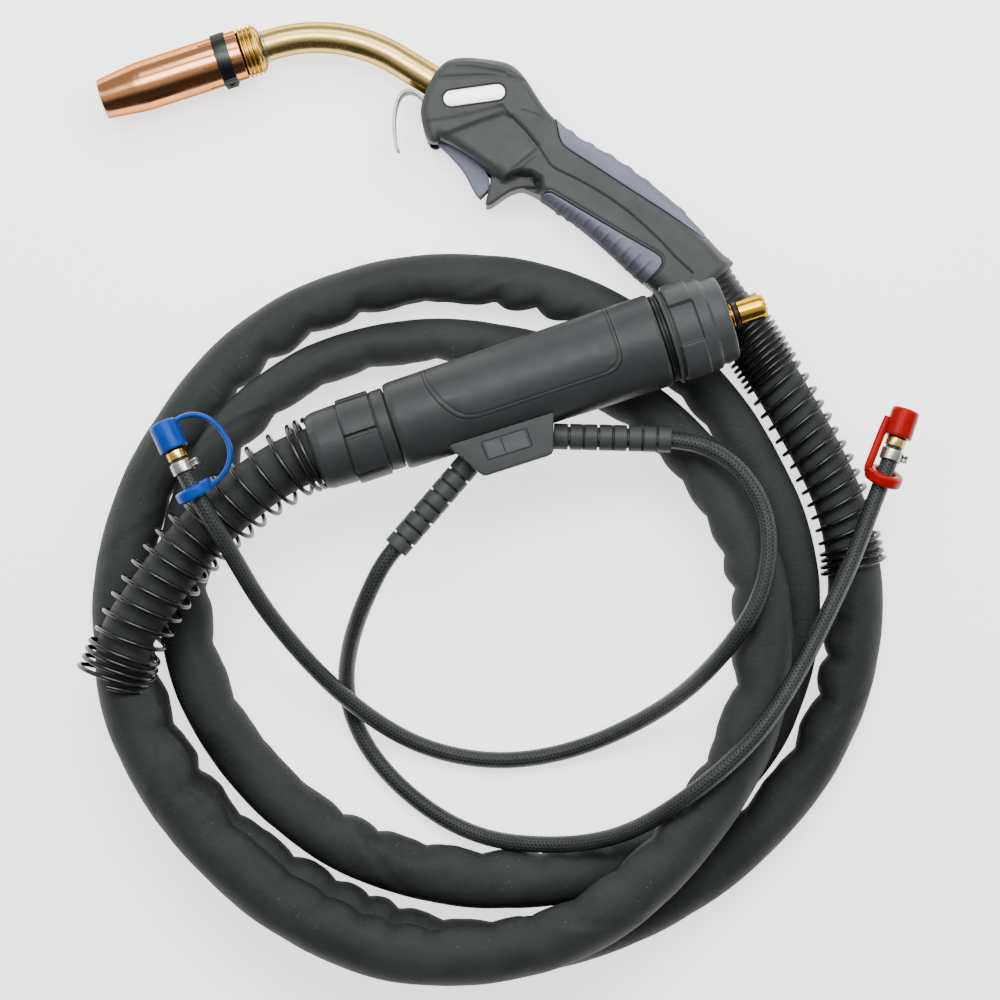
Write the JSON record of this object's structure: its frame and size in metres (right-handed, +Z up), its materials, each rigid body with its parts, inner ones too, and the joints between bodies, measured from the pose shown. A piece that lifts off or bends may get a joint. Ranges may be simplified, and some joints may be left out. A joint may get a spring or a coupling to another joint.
{
  "type": "mig welding torch",
  "caption": "Water-cooled MIG welding torch with swan neck, pistol handle, coiled hose package, central plug and capped water hoses.",
  "frame": {"origin": "bottom centre of the box around the handle, swan neck and nozzle, on the table that the torch lies on", "axes": "+X along the handle and neck from the nozzle towards the hose end, +Z up from the table, +Y away from the coiled hose"},
  "size_m": [0.4256, 0.4942, 0.0932],
  "materials": {
    "copper_nozzle": "drawn copper, brushed round",
    "copper_tip": "machined copper",
    "machined_brass": "machined brass",
    "gold_lacquer": "satin gold lacquer over a metal tube",
    "bright_steel": "plain bright steel",
    "dark_steel": "blackened spring steel",
    "black_spring_wire": "black coated spring wire",
    "handle_plastic": "fine grained moulded plastic",
    "plug_plastic": "smooth satin moulded plastic",
    "grip_rubber": "soft grip rubber, matt",
    "hose_sheath": "matt black hose sheath",
    "braided_cover": "braided textile with pale tracer threads",
    "black_plastic": "black moulded plastic",
    "blue_rubber": "soft glossy plastic",
    "red_rubber": "soft glossy plastic",
    "silver_plate": "blank satin foil"
  },
  "bodies": {
    "torch_body": {"badge_plate": "silver_plate", "cap_strap_blue": "blue_rubber", "cap_strap_red": "red_rubber", "central_pin": "machined_brass", "contact_tip": "copper_tip", "gas_diffuser": "machined_brass", "grip_pad_back": "grip_rubber", "grip_pad_front": "grip_rubber", "handle_boot_spring": "black_spring_wire", "handle_cable_bundle": "black_plastic", "handle_cable_sleeve": "black_plastic", "handle_screw_1": "bright_steel", "handle_screw_2": "bright_steel", "handle_screw_3": "bright_steel", "handle_shell_lower": "handle_plastic", "handle_shell_upper": "handle_plastic", "hose_clamp_blue": "bright_steel", "hose_clamp_red": "bright_steel", "label_plate": "plug_plastic", "main_hose": "hose_sheath", "micro_switch": "black_plastic", "neck_clamp_block": "machined_brass", "nipple_blue": "machined_brass", "nipple_red": "machined_brass", "nozzle_seat": "machined_brass", "pin_seal": "black_plastic", "plug_boot_spring": "black_spring_wire", "plug_brass_body": "machined_brass", "plug_cover_panel": "plug_plastic", "plug_insulator_core": "black_plastic", "plug_seal_ring": "black_plastic", "plug_shell_lower": "plug_plastic", "plug_shell_upper": "plug_plastic", "seat_washer": "bright_steel", "strain_relief_blue": "plug_plastic", "strain_relief_red": "plug_plastic", "swan_neck": "gold_lacquer", "torch_hook": "bright_steel", "trigger_pin": "bright_steel", "trigger_spring": "bright_steel", "water_block": "plug_plastic", "water_hose_blue": "braided_cover", "water_hose_red": "braided_cover"},
    "nozzle": {"gas_nozzle": "copper_nozzle", "nozzle_clamp_band": "dark_steel"},
    "trigger": {"trigger": "grip_rubber"},
    "switch_plunger": {"switch_plunger": "grip_rubber"},
    "ring_nut": {"ring_nut": "plug_plastic"},
    "rear_collar_nut": {"rear_collar_nut": "plug_plastic"},
    "contact_pin_1": {"contact_pin_1": "machined_brass"},
    "contact_pin_2": {"contact_pin_2": "machined_brass"},
    "cap_blue": {"cap_blue": "blue_rubber"},
    "cap_red": {"cap_red": "red_rubber"}
  },
  "joints": [
    {"name": "trigger_pull", "type": "hinge", "parent": "torch_body", "child": "trigger", "pos_m": [0.01205, 0.01472, 0.019], "axis": [0, 0, 1], "range_deg": [0, 2], "stiffness_Nm_per_rad": 0.05},
    {"name": "plunger_press", "type": "slide", "parent": "torch_body", "child": "switch_plunger", "axis": [0.7659, 0.6429, 0], "range_m": [0, 0.001]},
    {"name": "nozzle_pull", "type": "slide", "parent": "torch_body", "child": "nozzle", "axis": [-0.9511, -0.309, 0], "range_m": [0, 0.08]},
    {"name": "ring_nut_turn", "type": "hinge", "parent": "torch_body", "child": "ring_nut", "pos_m": [-0.04705, -0.14908, 0.062], "axis": [0.95, 0.3123, 0], "continuous": true},
    {"name": "rear_collar_turn", "type": "hinge", "parent": "torch_body", "child": "rear_collar_nut", "pos_m": [-0.04705, -0.14908, 0.062], "axis": [0.95, 0.3123, 0], "continuous": true},
    {"name": "contact_pin_1_press", "type": "slide", "parent": "torch_body", "child": "contact_pin_1", "axis": [0.95, 0.3123, 0], "range_m": [-0.003, 0], "stiffness_N_per_m": 200},
    {"name": "contact_pin_2_press", "type": "slide", "parent": "torch_body", "child": "contact_pin_2", "axis": [0.95, 0.3123, 0], "range_m": [-0.003, 0], "stiffness_N_per_m": 200},
    {"name": "cap_blue_pull", "type": "slide", "parent": "torch_body", "child": "cap_blue", "axis": [-0.4513, 0.891, -0.0486], "range_m": [0, 0.018]},
    {"name": "cap_red_pull", "type": "slide", "parent": "torch_body", "child": "cap_red", "axis": [0.3354, 0.9405, -0.0542], "range_m": [0, 0.018]}
  ],
  "couplings": [
    {"joint": "plunger_press", "follows": "trigger_pull", "m_per_rad": 0.0266}
  ]
}
